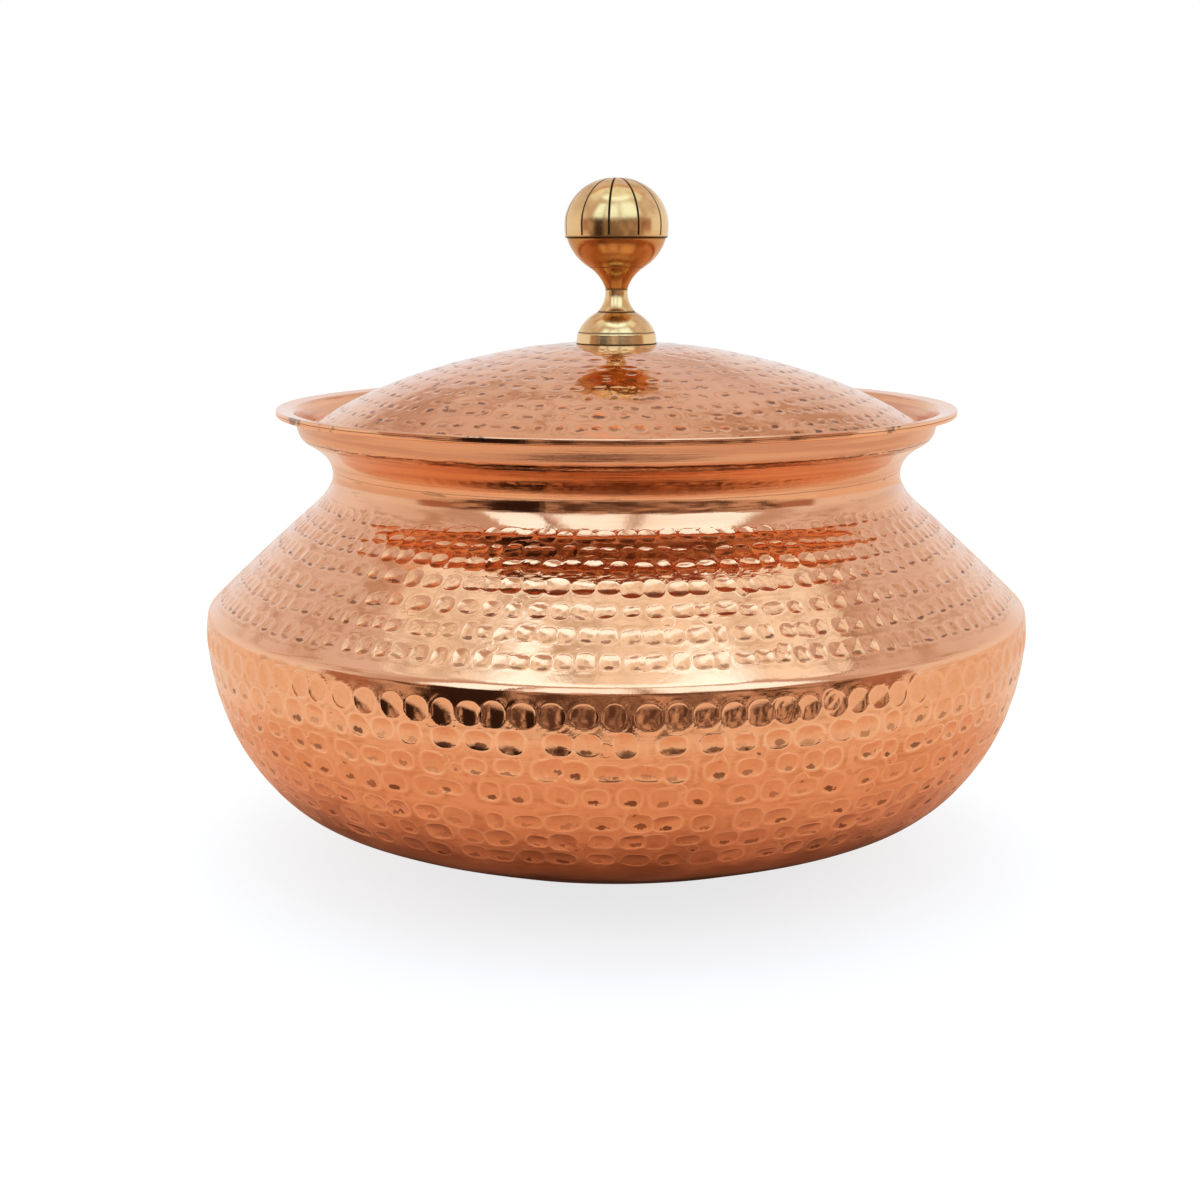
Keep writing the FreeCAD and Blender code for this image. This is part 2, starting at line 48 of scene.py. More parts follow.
# ------------------------------------------------------------------ profiles
def arc(a, b, radius, turn, step=0.4):
    ax, ay = a
    bx, by = b
    length = math.hypot(bx - ax, by - ay)
    half = length / 2.0
    sweep = math.asin(min(1.0, half / radius))
    high = math.sqrt(max(radius * radius - half * half, 0.0))
    cx = (ax + bx) / 2.0 - (by - ay) / length * high * turn
    cy = (ay + by) / 2.0 + (bx - ax) / length * high * turn
    t0 = math.atan2(ay - cy, ax - cx)
    n = max(3, int(2.0 * sweep * radius / step))
    t = t0 + np.linspace(0.0, 2.0 * sweep * turn, n)
    return np.c_[cx + radius * np.cos(t), cy + radius * np.sin(t)]


def chain(points, edges, step=0.4):
    """Points joined by lines (None) or arcs (radius, turn)."""
    out = []
    for i, edge in enumerate(edges):
        a, b = points[i], points[i + 1]
        if edge is None:
            n = max(2, int(math.hypot(b[0] - a[0], b[1] - a[1]) / step))
            seg = np.c_[np.linspace(a[0], b[0], n), np.linspace(a[1], b[1], n)]
        else:
            seg = arc(a, b, edge[0], edge[1], step)
        out.append(seg if i == 0 else seg[1:])
    return np.vstack(out)


def shifted(line, gauge):
    """The same line moved to the left of travel by the sheet gauge."""
    d = np.gradient(line, axis=0)
    d /= np.linalg.norm(d, axis=1)[:, None] + 1e-12
    return line + gauge * np.c_[-d[:, 1], d[:, 0]]


def blur(values, sigma):
    if sigma < 0.3:
        return values.copy()
    n = int(sigma * 4) + 1
    k = np.exp(-0.5 * (np.arange(-n, n + 1) / sigma) ** 2)
    k /= k.sum()
    lo = 2 * values[0] - values[1:n + 1][::-1]
    hi = 2 * values[-1] - values[-n - 1:-1][::-1]
    return np.convolve(np.r_[lo, values, hi], k, mode="valid")


class Profile:
    """A smoothed turned outline. side +1: the skin faces right of travel."""

    def __init__(self, line, side, soft, crisp, crisp_where):
        step = 0.25
        d = np.r_[0.0, np.cumsum(np.hypot(*np.diff(line, axis=0).T))]
        keep = np.r_[True, np.diff(d) > 1e-9]
        line, d = line[keep], d[keep]
        s = np.arange(0.0, d[-1], step)
        r = np.interp(s, d, line[:, 0])
        z = np.interp(s, d, line[:, 1])
        w = blur(crisp_where(r, z, s).astype(float), 5.0 / step)
        r = blur(r, soft / step) * (1 - w) + blur(r, crisp / step) * w
        z = blur(z, soft / step) * (1 - w) + blur(z, crisp / step) * w
        self.s, self.r, self.z, self.side = s, np.maximum(r, 0.0), np.maximum(z, 0.0), side
        tr, tz = np.gradient(self.r), np.gradient(self.z)
        size = np.hypot(tr, tz) + 1e-12
        self.tr, self.tz = tr / size, tz / size
        self.end = s[-1]

    def at(self, s):
        r, z = np.interp(s, self.s, self.r), np.interp(s, self.s, self.z)
        tr, tz = np.interp(s, self.s, self.tr), np.interp(s, self.s, self.tz)
        size = np.hypot(tr, tz) + 1e-12
        tr, tz = tr / size, tz / size
        return r, z, tr, tz, tz * self.side, -tr * self.side

    def find(self, z=None, r=None, lo=0.0, hi=1e9):
        pick = (self.s >= lo) & (self.s <= hi)
        gap = np.abs(self.z - z) if r is None else np.abs(self.r - r)
        gap = np.where(pick, gap, 1e9)
        return float(self.s[int(np.argmin(gap))])


# ------------------------------------------------------------------- relief
class Relief:
    """Hammer marks and slow dents on a profile, in mm along the skin."""

    def __init__(self, profile, seed):
        self.p = profile
        self.marks = []
        self.waves = []
        self.rng = np.random.default_rng(seed)
        self.spot = lambda s0: (0.46, 0.27)

    def row(self, s0, count, wide, tall, depth, power=2.3, soft=0.16, lip=0.10,
            wander=1.2, jitter=0.07, double=0.03, vary=0.12, deep_vary=0.22, turn=0.10):
        rng = self.rng
        radius = float(self.p.at(s0)[0])
        phase = rng.uniform(0, TAU)
        k = np.arange(count)
        # neighbours crowd and spread slowly, as they do by hand
        drift = (0.30 * np.sin(3 * TAU * k / count + rng.uniform(0, TAU))
                 + 0.12 * np.sin(7 * TAU * k / count + rng.uniform(0, TAU))
                 + 0.07 * np.sin(13 * TAU * k / count + rng.uniform(0, TAU)))
        theta = phase + (k + drift + rng.normal(0, jitter, count)) * TAU / count
        slow = (wander * 0.7 * np.sin(2 * theta + rng.uniform(0, TAU))
                + wander * 0.5 * np.sin(5 * theta + rng.uniform(0, TAU))
                + wander * 0.45 * np.sin(11 * theta + rng.uniform(0, TAU)))
        for i in range(count):
            a = wide * (1 + rng.normal(0, vary))
            b = tall * (1 + rng.normal(0, vary))
            d = depth * max(0.35, 1 + rng.normal(0, deep_vary))
            s = s0 + slow[i] + rng.normal(0, wander * 0.4)
            self.marks.append((s, theta[i] % TAU, a, b, rng.normal(0, turn), d, power, soft, lip, radius))
            if rng.random() < double:
                self.marks.append((s + rng.normal(0, b * 0.35), (theta[i] + rng.choice([-1, 1]) * a * 0.55 / radius) % TAU,
                                   a * 0.8, b * 0.85, rng.normal(0, turn), d * 0.8, power, soft, lip, radius))

    def scatter(self, s_lo, s_hi, count, size, depth, soft=0.3):
        rng = self.rng
        for _ in range(count):
            s = rng.uniform(s_lo, s_hi)
            a = size * rng.uniform(0.6, 1.5)
            self.marks.append((s, rng.uniform(0, TAU), a, a * rng.uniform(0.6, 1.0), rng.uniform(-0.6, 0.6),
                               depth * rng.uniform(0.4, 1.3), 2.0, soft, 0.0, float(self.p.at(s)[0])))

    def ripple(self, s_lo, s_hi, length_lo, length_hi, count, tall, fade=8.0, along=1.0):
        """Slow dents between two places on the profile."""
        rng = self.rng
        radius = float(self.p.at(0.5 * (s_lo + s_hi))[0])
        for _ in range(count):
            length = math.exp(rng.uniform(math.log(length_lo), math.log(length_hi)))
            way = rng.uniform(0, TAU)
            ks = TAU / length * math.cos(way)
            m = int(round(TAU / length * math.sin(way) * radius / along))
            amp = tall * (length / length_hi) ** 0.8 / math.sqrt(count)
            self.waves.append((s_lo, s_hi, fade, ks, m, rng.uniform(0, TAU), amp))

    def paint(self, s, theta, rr, zz):
        """For each point, how far it is from the middle of its nearest mark (2 minus
        that, so bare metal is 0), the same for its painted shade spot, how much painted shade the spot has, and how
        much painted highlight the mark's rim has."""
        n = len(theta)
        rho = np.full((len(s), n), 2.0)
        spot, much, edge = np.full_like(rho, 4.0), np.zeros_like(rho), np.zeros_like(rho)
        step = TAU / n
        rng = np.random.default_rng(len(self.marks) + 5)
        for (s0, t0, a, b, rot, d, power, soft, lip, _) in self.marks:
            dirt_and_shade, low, rim_highlight = self.dirt_and_shade(s0, a, rng)
            half_wide, half_tall = self.spot(s0)
            if a < 5.2 and lip == 0.0:
                continue
            reach = 1.7
            radius = max(float(self.p.at(s0)[0]), 5.0)
            i0, i1 = int(np.searchsorted(s, s0 - b * reach)), int(np.searchsorted(s, s0 + b * reach))
            j0 = int(math.ceil((t0 - a * reach / radius) / step))
            j1 = int(math.floor((t0 + a * reach / radius) / step))
            if i1 <= i0 or j1 < j0:
                continue
            jj = np.arange(j0, j1 + 1)
            x = (jj * step - t0)[None, :] * radius
            y = (s[i0:i1] - s0)[:, None]
            jj = jj % n
            c, q = math.cos(rot), math.sin(rot)
            u = (c * x + q * y) / a
            v = (-q * x + c * y) / b
            near = ((np.abs(u) + 1e-9) ** power + (np.abs(v) + 1e-9) ** power) ** (1.0 / power)
            block = rho[i0:i1][:, jj]
            win = near < block
            block[win] = near[win]
            rho[i0:i1, jj] = block
            shape = ((u - 0.18 * math.sin(40.0 * t0)) / half_wide) ** 2 + ((v - low) / half_tall) ** 2
            for field, value in ((spot, np.minimum(shape, 4.0)), (much, dirt_and_shade), (edge, rim_highlight)):
                block = field[i0:i1][:, jj]
                block[win] = (value * np.ones_like(near))[win]
                field[i0:i1, jj] = block
        return {"mark": 2.0 - rho, "mark_spot": 4.0 - spot, "mark_shade": much, "mark_highlight": edge}

    # painted shade amount of a mark, the place of its spot low in the mark, and its painted rim highlight; none by
    # default
    def dirt_and_shade(self, s0, a, rng):
        return 0.0, 0.0, 0.0

    def __call__(self, s, theta):
        """Height, its slope along the profile and its slope round the axis."""
        n = len(theta)
        pit = np.zeros((len(s), n))
        pit_s, pit_t = np.zeros_like(pit), np.zeros_like(pit)
        add, add_s, add_t = np.zeros_like(pit), np.zeros_like(pit), np.zeros_like(pit)
        step = TAU / n
        for (s0, t0, a, b, rot, d, power, soft, lip, _) in self.marks:
            reach = 1.5
            i0 = int(np.searchsorted(s, s0 - b * reach))
            i1 = int(np.searchsorted(s, s0 + b * reach))
            if i1 <= i0:
                continue
            radius = max(float(self.p.at(s0)[0]), 5.0)
            span = a * reach / radius
            j0 = int(math.ceil((t0 - span) / step))
            j1 = int(math.floor((t0 + span) / step))
            if j1 < j0:
                continue
            jj = np.arange(j0, j1 + 1)
            x = (jj * step - t0)[None, :] * radius
            y = (s[i0:i1] - s0)[:, None]
            jj = jj % n
            c, q = math.cos(rot), math.sin(rot)
            u = (c * x + q * y) / a
            v = (-q * x + c * y) / b
            au, av = np.abs(u) + 1e-9, np.abs(v) + 1e-9
            base = au ** power + av ** power
            rho2 = base ** (2.0 / power)
            g = 2.0 * base ** (2.0 / power - 1.0)
            gu = g * au ** (power - 1.0) * np.sign(u)
            gv = g * av ** (power - 1.0) * np.sign(v)
            gx = gu * c / a - gv * q / b
            gy = gu * q / a + gv * c / b
            e = np.clip((1.0 - rho2) / soft, -40, 40)
            f = soft * np.log1p(np.exp(e))
            fd = -1.0 / (1.0 + np.exp(-e))
            h = d * f
            rows = slice(i0, i1)
            cur = pit[rows][:, jj]
            win = h > cur
            block = cur.copy()
            block[win] = h[win]
            pit[i0:i1, jj] = block
            block = pit_s[rows][:, jj]
            block[win] = (d * fd * gy)[win]
            pit_s[i0:i1, jj] = block
            block = pit_t[rows][:, jj]
            block[win] = (d * fd * gx * radius)[win]
            pit_t[i0:i1, jj] = block
            if lip:
                rho = np.sqrt(rho2)
                q1 = (rho - 1.15) / 0.15
                bump = d * lip * np.exp(-q1 * q1)
                slope = bump * (-2.0 * q1 / 0.15) / (2.0 * rho + 1e-6)
                add[i0:i1, jj] += bump
                add_s[i0:i1, jj] += slope * gy
                add_t[i0:i1, jj] += slope * gx * radius
        for (lo, hi, fade, ks, m, ph, amp) in self.waves:
            w = 1.0 / (1.0 + np.exp(-np.clip((s - lo) / fade * 4, -40, 40))) / (1.0 + np.exp(np.clip((s - hi) / fade * 4, -40, 40)))
            if w.max() < 1e-4:
                continue
            arg = (ks * s)[:, None] + (m * theta)[None, :] + ph
            si, co = np.sin(arg), np.cos(arg)
            aw = (amp * w)[:, None]
            add += aw * si
            add_s += aw * ks * co
            add_t += aw * m * co
        return add - pit, add_s - pit_s, add_t - pit_t


# ------------------------------------------------------------------- meshes
def build(name, co, quads, tris, normals, node, material, soil_and_shade=None):
    me = bpy.data.meshes.new(name)
    co = np.asarray(co, float) * MM
    me.vertices.add(len(co))
    me.vertices.foreach_set("co", co.astype(np.float32).ravel())
    quads = np.asarray(quads, np.int32).reshape(-1, 4)
    tris = np.asarray(tris, np.int32).reshape(-1, 3)
    me.loops.add(quads.size + tris.size)
    me.loops.foreach_set("vertex_index", np.r_[quads.ravel(), tris.ravel()].astype(np.int32))
    starts = np.r_[np.arange(len(quads)) * 4, quads.size + np.arange(len(tris)) * 3]
    me.polygons.add(len(quads) + len(tris))
    me.polygons.foreach_set("loop_start", starts.astype(np.int32))
    me.polygons.foreach_set("use_smooth", np.ones(len(starts), bool))
    me.update(calc_edges=True)
    me.validate()
    for key, values in (soil_and_shade or {}).items():
        layer = me.attributes.new(key, "FLOAT", "POINT")
        layer.data.foreach_set("value", np.asarray(values, np.float32).ravel())
    me.normals_split_custom_set_from_vertices(normals.tolist())
    ob = bpy.data.objects.new(name, me)
    bpy.context.scene.collection.objects.link(ob)
    me.materials.append(material)
    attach(ob, "root")
    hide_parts(node)
    return ob


def sheet(name, prof, s, theta, relief, node, material, pole_start=False, pole_end=False, soil_and_shade=None):
    """The skin of a profile between its rows s, closed round the axis."""
    theta = np.linspace(0, TAU, theta, endpoint=False) if np.isscalar(theta) else theta
    s = np.asarray(s, float)
    r, z, tr, tz, nr, nz = prof.at(s)
    if relief is None:
        d = ds = dt = np.zeros((len(s), len(theta)))
    else:
        d, ds, dt = relief(s, theta)
    ct, st = np.cos(theta)[None, :], np.sin(theta)[None, :]
    rr = r[:, None] + d * nr[:, None]
    zz = np.maximum(z[:, None] + d * nz[:, None], 0.0)
    co = np.stack([rr * ct, rr * st, zz], -1)
    turn = dt / np.maximum(r, 1.0)[:, None]
    a = nr[:, None] - ds * tr[:, None]
    b = nz[:, None] - ds * tz[:, None]
    nn = np.stack([a * ct + turn * st, a * st - turn * ct, b * np.ones_like(ct)], -1)
    nn /= np.linalg.norm(nn, axis=-1)[..., None] + 1e-12
    m, n = len(s), len(theta)
    i = np.arange(m - 1)[:, None] * n
    j = np.arange(n)[None, :]
    k = (j + 1) % n
    quads = np.stack([i + j, i + k, i + n + k, i + n + j], -1).reshape(-1, 4)
    co, nn = co.reshape(-1, 3), nn.reshape(-1, 3)
    tris = []
    dirt_and_shade = {} if soil_and_shade is None else soil_and_shade(s, theta, rr, zz)
    dirt_and_shade = dirt_and_shade if isinstance(dirt_and_shade, dict) else {"soil_and_shade": dirt_and_shade}
    dirt_and_shade = {key: np.asarray(values).reshape(-1) for key, values in dirt_and_shade.items()}
    ends = []
    if pole_start:
        ends.append((0, float(z[0]), (nr[0], nz[0]), False))
    if pole_end:
        ends.append((m - 1, float(z[-1]), (nr[-1], nz[-1]), True))
    for row, high, nrm, last in ends:
        pole = len(co)
        co = np.vstack([co, [[0.0, 0.0, high]]])
        nn = np.vstack([nn, [[0.0, 0.0, math.copysign(1.0, nrm[1])]]])
        dirt_and_shade = {key: np.r_[values, 0.0] for key, values in dirt_and_shade.items()}
        a0 = row * n + np.arange(n)
        b0 = row * n + (np.arange(n) + 1) % n
        tri = np.c_[a0, b0, np.full(n, pole)] if last else np.c_[b0, a0, np.full(n, pole)]
        tris.append(tri)
    tris = np.vstack(tris) if tris else np.zeros((0, 3), int)
    if prof.side < 0:
        quads, tris = quads[:, ::-1], tris[:, ::-1]
    return build(name, co, quads, tris, nn, node, material, dirt_and_shade)


def rows(a, b, step):
    return np.linspace(a, b, max(2, int(round(abs(b - a) / step)) + 1))


def bends(prof, a, b, coarse, tight, turn=0.10):
    """Rows of a profile that lie closer together where it bends."""
    s = np.linspace(a, b, 6000)
    tr, tz = prof.at(s)[2:4]
    rate = np.abs(np.gradient(np.unwrap(np.arctan2(tz, tr)), s))
    rate = np.convolve(np.pad(rate, 20, mode="edge"), np.ones(41) / 41.0, mode="valid")
    need = np.clip(rate / turn, 1.0 / coarse, 1.0 / tight)
    total = np.r_[0.0, np.cumsum(0.5 * (need[1:] + need[:-1]) * np.diff(s))]
    return np.interp(np.linspace(0.0, total[-1], int(np.ceil(total[-1])) + 1), total, s)


# ---------------------------------------------------------------- materials
class Sock:
    """A value inside a node tree that takes ordinary arithmetic."""

    def __init__(self, tree, out):
        self.tree, self.out = tree, out

    def _op(self, op, *others, clamp=False):
        node = self.tree.nodes.new("ShaderNodeMath")
        node.operation = op
        node.use_clamp = clamp
        for k, v in enumerate((self,) + others):
            if isinstance(v, Sock):
                self.tree.links.new(v.out, node.inputs[k])
            else:
                node.inputs[k].default_value = float(v)
        return Sock(self.tree, node.outputs[0])

    def __add__(self, o): return self._op("ADD", o)
    def __radd__(self, o): return self._op("ADD", o)
    def __sub__(self, o): return self._op("SUBTRACT", o)
    def __mul__(self, o): return self._op("MULTIPLY", o)
    def __rmul__(self, o): return self._op("MULTIPLY", o)
    def __truediv__(self, o): return self._op("DIVIDE", o)
    def __neg__(self): return self._op("MULTIPLY", -1.0)
    def inv(self): return (self * -1.0) + 1.0
    def abs(self): return self._op("ABSOLUTE")
    def maxi(self, o): return self._op("MAXIMUM", o)
    def mini(self, o): return self._op("MINIMUM", o)
    def power(self, o): return self._op("POWER", o)
    def clamp(self): return self._op("ADD", 0.0, clamp=True)

    def ramp(self, a, b, lo=0.0, hi=1.0):
        node = self.tree.nodes.new("ShaderNodeMapRange")
        node.interpolation_type = "SMOOTHSTEP"
        node.clamp = True
        if a > b:
            a, b, lo, hi = b, a, hi, lo
        self.tree.links.new(self.out, node.inputs["Value"])
        node.inputs["From Min"].default_value = a
        node.inputs["From Max"].default_value = b
        node.inputs["To Min"].default_value = lo
        node.inputs["To Max"].default_value = hi
        return Sock(self.tree, node.outputs["Result"])

    def band(self, lo, hi, soft):
        return self.ramp(lo - soft, lo + soft) * self.ramp(hi + soft, hi - soft)


class Tree:
    def __init__(self, tree):
        self.t = tree
        tree.nodes.clear()

    def node(self, kind, **values):
        node = self.t.nodes.new(kind)
        for k, v in values.items():
            setattr(node, k, v)
        return node

    def link(self, a, b):
        self.t.links.new(a.out if isinstance(a, Sock) else a, b)

    def sock(self, out):
        return Sock(self.t, out)

    def xyz(self, x, y, z):
        node = self.node("ShaderNodeCombineXYZ")
        for k, v in enumerate((x, y, z)):
            if isinstance(v, Sock):
                self.link(v, node.inputs[k])
            else:
                node.inputs[k].default_value = v
        return node.outputs[0]

    def split(self, vec):
        node = self.node("ShaderNodeSeparateXYZ")
        self.link(vec, node.inputs[0])
        return [self.sock(node.outputs[k]) for k in range(3)]

    def noise(self, vec, scale, detail=3.0, rough=0.5, warp=0.0):
        node = self.node("ShaderNodeTexNoise")
        self.link(vec, node.inputs["Vector"])
        node.inputs["Scale"].default_value = scale
        node.inputs["Detail"].default_value = detail
        node.inputs["Roughness"].default_value = rough
        node.inputs["Distortion"].default_value = warp
        return self.sock(node.outputs["Fac"])

    def mix(self, fac, a, b):
        node = self.node("ShaderNodeMix", data_type="RGBA")
        if isinstance(fac, Sock):
            self.link(fac, node.inputs[0])
        else:
            node.inputs[0].default_value = fac
        for k, v in ((6, a), (7, b)):
            if isinstance(v, tuple):
                node.inputs[k].default_value = (*v, 1.0)
            else:
                self.link(v, node.inputs[k])
        return node.outputs[2]

    def bump(self, height, strength, distance, normal=None):
        node = self.node("ShaderNodeBump")
        node.inputs["Strength"].default_value = strength
        node.inputs["Distance"].default_value = distance
        self.link(height, node.inputs["Height"])
        if normal is not None:
            self.link(normal, node.inputs["Normal"])
        return node.outputs["Normal"]


def metal(name, kind, light, deep, where=""):
    mat = bpy.data.materials.new(name)
    mat.use_nodes = True
    t = Tree(mat.node_tree)
    place = t.node("ShaderNodeTexCoord").outputs["Object"]
    x, y, z = t.split(place)
    r = (x * x + y * y).power(0.5)
    lane = z * 0.80 + r * 0.60            # runs across every turned surface
    round_streaks = t.noise(t.xyz(x * 7.0, y * 7.0, lane * 520.0), 1.0, 3.0, 0.6)
    cloud = t.noise(place, 7.0, 2.0, 0.55, 0.4)
    grain = t.noise(place, 65.0, 3.0, 0.6)
    shader = t.node("ShaderNodeBsdfPrincipled")
    out = t.node("ShaderNodeOutputMaterial")
    shader.inputs["Metallic"].default_value = 1.0
    tone = t.mix(cloud.ramp(0.35, 0.65), light, deep)
    if kind == "copper":
        tone = t.mix(round_streaks.ramp(0.52, 0.72) * 0.16, tone, (0.70, 0.36, 0.19))
        tone = t.mix(grain.ramp(0.52, 0.75) * 0.10, tone, (0.75, 0.40, 0.22))
        rough = cloud.ramp(0.3, 0.7, 0.055, 0.095) + round_streaks.ramp(0.45, 0.75) * 0.045
        nrm = t.bump(round_streaks, 0.16, 0.0002)
        nrm = t.bump(grain, 0.22, 0.0006, nrm)
    if where == "neck":
        round_wide = t.noise(t.xyz(x * 3.0, y * 3.0, lane * 110.0), 1.0, 4.0, 0.6, 0.6)
        neck = z.band(0.446, 0.533, 0.006) * r.ramp(0.386, 0.380)
        tone = t.mix(neck * round_wide.ramp(0.46, 0.62, 0.14, 0.46), tone, (0.62, 0.28, 0.14))
        collar = z.band(0.5100, 0.5285, 0.0012) * r.ramp(0.386, 0.382)
        tone = t.mix(collar * round_wide.ramp(0.40, 0.58, 0.34, 0.78), tone, (0.66, 0.31, 0.18))
        # painted shade: the cup under the collar is darkened to brown in streaks
        cup = z.band(0.4705, 0.5065, 0.0015) * r.ramp(0.374, 0.371)
        tone = t.mix(cup * round_wide.ramp(0.38, 0.60, 0.0, 0.35), tone, (0.62, 0.28, 0.14))
        # painted shade: the crease between cup and collar is darkened, with a ragged dark line along it
        shade_noise = t.noise(t.xyz(x * 22.0, y * 22.0, z * 330.0), 1.0, 4.0, 0.65, 0.5)
        ragged = t.noise(place, 45.0, 3.0, 0.7)
        line = (z + (ragged - 0.5) * 0.006).band(0.5068, 0.5082, 0.0006) * r.band(0.362, 0.376, 0.002)
        crease = z.band(0.5015, 0.5095, 0.0028) * r.band(0.362, 0.376, 0.002)
        tone = t.mix(crease * shade_noise.ramp(0.50, 0.60) * 0.75, tone, (0.20, 0.10, 0.06))
        tone = t.mix(line * ragged.ramp(0.36, 0.50) * 0.85, tone, (0.10, 0.045, 0.025))
        # painted shade under the flange and behind the hem, and a painted dark reflection line along the fold of the
        # hem
        pocket = z.band(0.5280, 0.5336, 0.0008) * r.band(0.3790, 0.3935, 0.0006)
        tone = t.mix(pocket * shade_noise.ramp(0.30, 0.60, 0.55, 0.95), tone, (0.20, 0.070, 0.035))
        fold = (z + (ragged - 0.5) * 0.0012).band(0.5345, 0.5352, 0.0003) * r.ramp(0.3965, 0.3975)
        tone = t.mix(fold * 0.85, tone, (0.07, 0.035, 0.02))
        # thin dark line where the plain neck meets the first marks and the cup
        seam = ((z + (ragged - 0.5) * 0.003).band(0.4405, 0.4412, 0.0004) + (z + (ragged - 0.5) * 0.002).band(0.4690, 0.4698, 0.0004)) * r.ramp(0.350, 0.348)
        tone = t.mix(seam.clamp() * 0.55, tone, (0.16, 0.07, 0.04))
        # brown smudges on the polished neck
        smudge = t.noise(t.xyz(x * 13.0, y * 13.0, z * 85.0), 1.0, 4.0, 0.62, 0.8)
        tone = t.mix(z.band(0.452, 0.474, 0.004) * r.ramp(0.350, 0.346) * smudge.ramp(0.60, 0.70) * 0.7, tone, (0.30, 0.16, 0.10))
        # dark specks on the turned rim edge
        speck = t.noise(place, 16.0, 4.0, 0.7)
        tone = t.mix(r.ramp(0.3955, 0.3972) * z.ramp(0.529, 0.531) * speck.ramp(0.60, 0.66) * 0.8, tone, (0.16, 0.10, 0.07))
        rough = rough + neck * 0.03
        nrm = t.bump(round_wide * neck, 0.35, 0.0008, nrm)
    if where == "lid":
        # painted reflection and shade: the lid close round the knob is darkened to brown, standing in for the knob's
        # dark mirror image
        knob_reflection = r.ramp(0.118, 0.052) * z.band(0.598, 0.612, 0.002)
        tone = t.mix(knob_reflection * grain.ramp(0.30, 0.60, 0.42, 0.78), tone, (0.40, 0.155, 0.065))
        # painted shade: a thin dark circle on the lid where the knob's foot sits on it
        tone = t.mix(r.band(0.040, 0.0490, 0.0006) * z.band(0.600, 0.612, 0.002) * 0.9, tone, (0.07, 0.03, 0.015))
    if where in ("bowl", "lid"):
        # hammer marks: a painted highlight on each mark's rim, painted shade darkening the inside, and a darker painted
        # shade spot low inside
        layer = lambda key: t.sock(t.node("ShaderNodeAttribute", attribute_name=key).outputs["Fac"])
        rho = layer("mark").inv() + 1.0
        nick = t.noise(place, 190.0, 2.0, 0.6)
        rim_grain = grain.ramp(0.35, 0.60, 0.10, 0.80)
        # painted highlight: the rim of each mark is lightened
        edge = rho.band(0.98, 1.14, 0.12) * layer("mark_highlight") * rim_grain
        edge_up = rho.band(0.98, 1.10, 0.10) * layer("mark_highlight").ramp(0.02, 0.2)
        ground = rho.band(1.26, 1.75, 0.09)
        inside = rho.ramp(0.99, 0.84)
        # painted shade: a dark spot low inside each mark
        spot = inside * (layer("mark_spot") + (nick - 0.5) * 3.6).ramp(2.75, 3.30) * layer("mark_shade")
        drawn = t.noise(t.xyz(x * 16.0, y * 16.0, lane * 190.0), 1.0, 3.0, 0.65, 0.6)
        # painted shade: the inside of each mark is darkened
        tone = t.mix(inside * nick.ramp(0.3, 0.7, 0.06, 0.34), tone, (0.70, 0.32, 0.145))
        tone = t.mix(ground * rim_grain * drawn.ramp(0.42, 0.62, 0.25, 0.85), tone, (0.66, 0.30, 0.135))
        tone = t.mix(edge.clamp(), tone, (1.0, 0.70, 0.48))
        tone = t.mix(spot.clamp() * 0.86, tone, (0.17, 0.060, 0.028))
        rough = rough + spot * 0.15
        nrm = t.bump(edge_up, 1.0, 0.00016, nrm)
    if kind == "brass":
        dirt_and_shade = t.sock(t.node("ShaderNodeAttribute", attribute_name="soil_and_shade").outputs["Fac"])
        speckle = t.noise(place, 900.0, 2.0, 0.7)
        tone = t.mix(speckle.ramp(0.5, 0.8) * 0.22, tone, (0.45, 0.27, 0.10))
        tone = t.mix(grain.ramp(0.5, 0.8) * 0.18, tone, (0.62, 0.42, 0.18))
        tone = t.mix(round_streaks.ramp(0.52, 0.75) * 0.14, tone, (0.60, 0.40, 0.18))
        tone = t.mix(dirt_and_shade.clamp(), tone, (0.060, 0.028, 0.013))
        rough = cloud.ramp(0.3, 0.7, 0.14, 0.21) + round_streaks.ramp(0.45, 0.75) * 0.05 + dirt_and_shade.clamp() * 0.35
        nrm = t.bump(round_streaks, 0.15, 0.0002)
        nrm = t.bump(grain, 0.15, 0.0005, nrm)
    t.link(rough, shader.inputs["Roughness"])
    t.link(tone, shader.inputs["Base Color"])
    t.link(nrm, shader.inputs["Normal"])
    t.link(shader.outputs["BSDF"], out.inputs["Surface"])
    return mat


copper = metal("plain_copper", "copper", (0.945, 0.525, 0.305), (0.905, 0.470, 0.256))
hammered = metal("hammered_copper", "copper", (0.945, 0.525, 0.305), (0.905, 0.470, 0.256), "bowl")
neck_copper = metal("polished_copper_neck", "copper", (0.945, 0.525, 0.305), (0.905, 0.470, 0.256), "neck")
lid_copper = metal("hammered_copper_lid", "copper", (0.925, 0.490, 0.262), (0.880, 0.430, 0.220), "lid")
brass = metal("turned_brass", "brass", (0.900, 0.625, 0.310), (0.815, 0.535, 0.235))
# the bulb gets a darker, redder copy of the brass: painted reflection of the copper lid below it
bulb_brass_with_painted_reflection = metal("turned_brass_painted_reflection", "brass", (0.680, 0.350, 0.115), (0.550, 0.260, 0.078))

